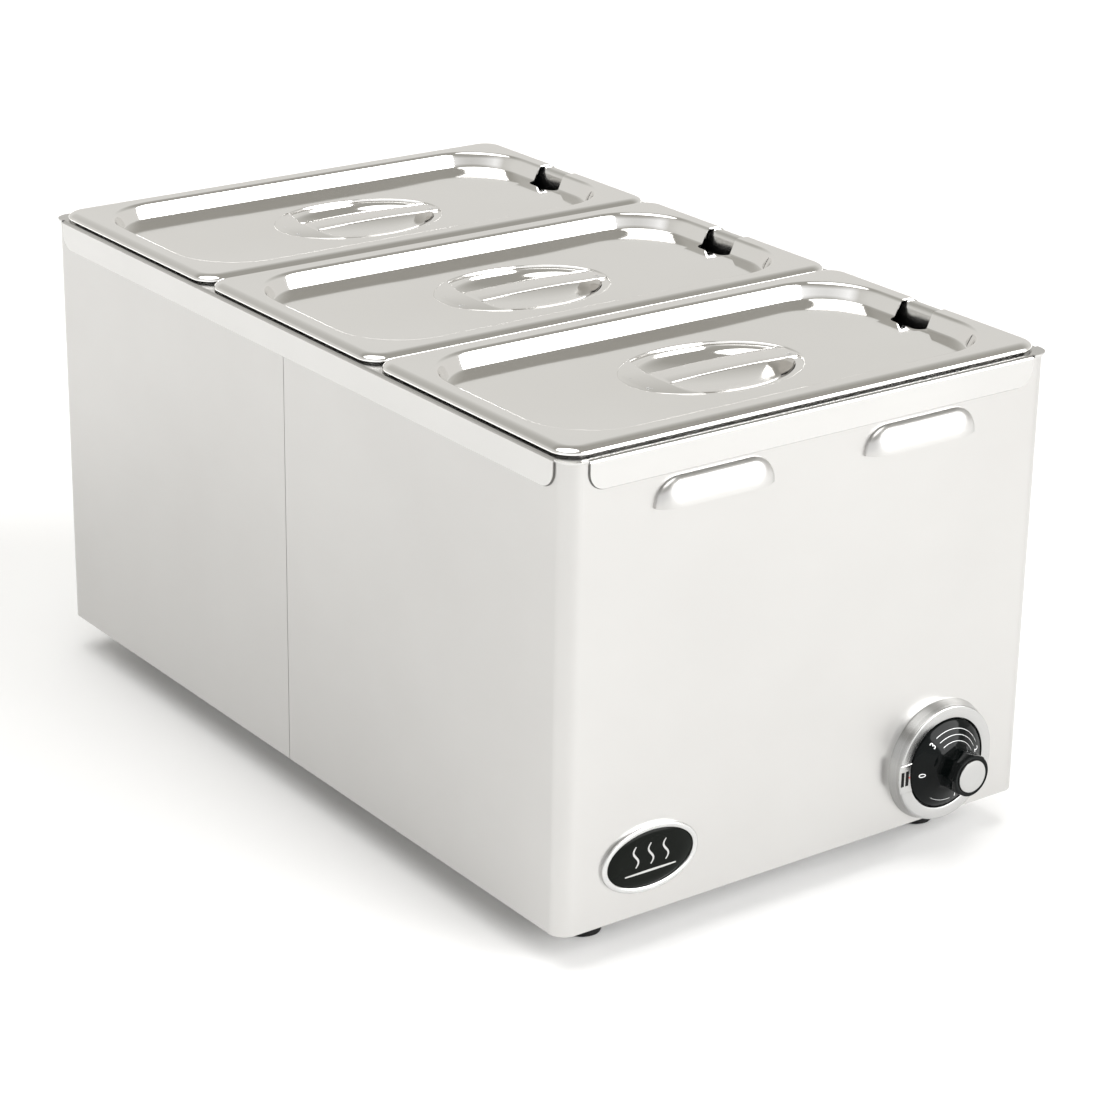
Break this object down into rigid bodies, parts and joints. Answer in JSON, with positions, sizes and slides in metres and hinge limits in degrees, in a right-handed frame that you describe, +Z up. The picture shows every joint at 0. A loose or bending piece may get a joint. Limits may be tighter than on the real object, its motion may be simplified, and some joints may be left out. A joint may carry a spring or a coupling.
{
  "type": "electric buffet server",
  "caption": "Counter-top food warmer: a long steel case with lift-out gastronorm pans under sunk lids with ladle notches, a thermostat dial at one end and rubber feet.",
  "frame": {"origin": "on the bench under the middle of the case, half way between the knob's face and the cable gland's end", "axes": "+Z up, -Y towards the control end, +X to the right when facing the control end"},
  "size_m": [0.3304, 0.597, 0.2933],
  "materials": {
    "satin_steel": "satin",
    "deck_steel": "satin",
    "inner_steel": "mill finish",
    "lid_steel": "bright polished stainless",
    "pan_steel": "bright",
    "zinc_screw": "zinc plated",
    "rubber_foot": "matte",
    "bezel_metal": "satin",
    "black_dial": "gloss",
    "black_badge": "gloss",
    "mineral_wool": "fibrous",
    "element_tube": "heat dulled",
    "brass_gland": "machined",
    "copper_tube": "drawn copper",
    "phenolic": "moulded",
    "nylon_white": "moulded",
    "nylon_black": "moulded",
    "wire_sleeve": "woven glass sleeve"
  },
  "bodies": {
    "case": {"top_deck": "deck_steel", "front_case": "satin_steel", "rear_case": "satin_steel", "left_seam_strip": "satin_steel", "right_seam_strip": "satin_steel", "inner_liner": "inner_steel", "base_plate": "inner_steel", "base_screws": "zinc_screw", "insulation_sides": "mineral_wool", "insulation_floor": "mineral_wool", "heating_element": "element_tube", "element_rails": "inner_steel", "element_glands": "brass_gland", "thermostat_bracket": "inner_steel", "thermostat_body": "phenolic", "thermostat_screws": "zinc_screw", "thermostat_bulb": "copper_tube", "thermostat_capillary": "copper_tube", "overheat_cut_out": "phenolic", "terminal_block": "nylon_white", "earth_stud": "zinc_screw", "internal_wiring": "wire_sleeve", "control_bezel": "bezel_metal", "badge_rim": "bezel_metal", "badge_plate": "black_badge", "foot_front_left": "rubber_foot", "foot_front_right": "rubber_foot", "foot_rear_left": "rubber_foot", "foot_rear_right": "rubber_foot", "foot_screws": "zinc_screw", "cable_gland": "nylon_black", "gland_nut": "nylon_black"},
    "knob": {"control_knob": "black_dial", "knob_cap": "bezel_metal", "thermostat_shaft": "zinc_screw"},
    "pan_front": {"pan_front": "pan_steel"},
    "lid_front": {"lid_front": "lid_steel", "lid_handle_front": "lid_steel"},
    "pan_middle": {"pan_middle": "pan_steel"},
    "lid_middle": {"lid_middle": "lid_steel", "lid_handle_middle": "lid_steel"},
    "pan_rear": {"pan_rear": "pan_steel"},
    "lid_rear": {"lid_rear": "lid_steel", "lid_handle_rear": "lid_steel"}
  },
  "joints": [
    {"name": "knob_turn", "type": "hinge", "parent": "case", "child": "knob", "pos_m": [0.099, -0.2685, 0.059], "axis": [0, 1, 0], "range_deg": [0, 305]},
    {"name": "pan_front_lift", "type": "slide", "parent": "case", "child": "pan_front", "axis": [0, 0, 1], "range_m": [0, 0.2]},
    {"name": "lid_front_lift", "type": "slide", "parent": "pan_front", "child": "lid_front", "axis": [0, 0, 1], "range_m": [0, 0.15]},
    {"name": "pan_middle_lift", "type": "slide", "parent": "case", "child": "pan_middle", "axis": [0, 0, 1], "range_m": [0, 0.2]},
    {"name": "lid_middle_lift", "type": "slide", "parent": "pan_middle", "child": "lid_middle", "axis": [0, 0, 1], "range_m": [0, 0.15]},
    {"name": "pan_rear_lift", "type": "slide", "parent": "case", "child": "pan_rear", "axis": [0, 0, 1], "range_m": [0, 0.2]},
    {"name": "lid_rear_lift", "type": "slide", "parent": "pan_rear", "child": "lid_rear", "axis": [0, 0, 1], "range_m": [0, 0.15]}
  ]
}
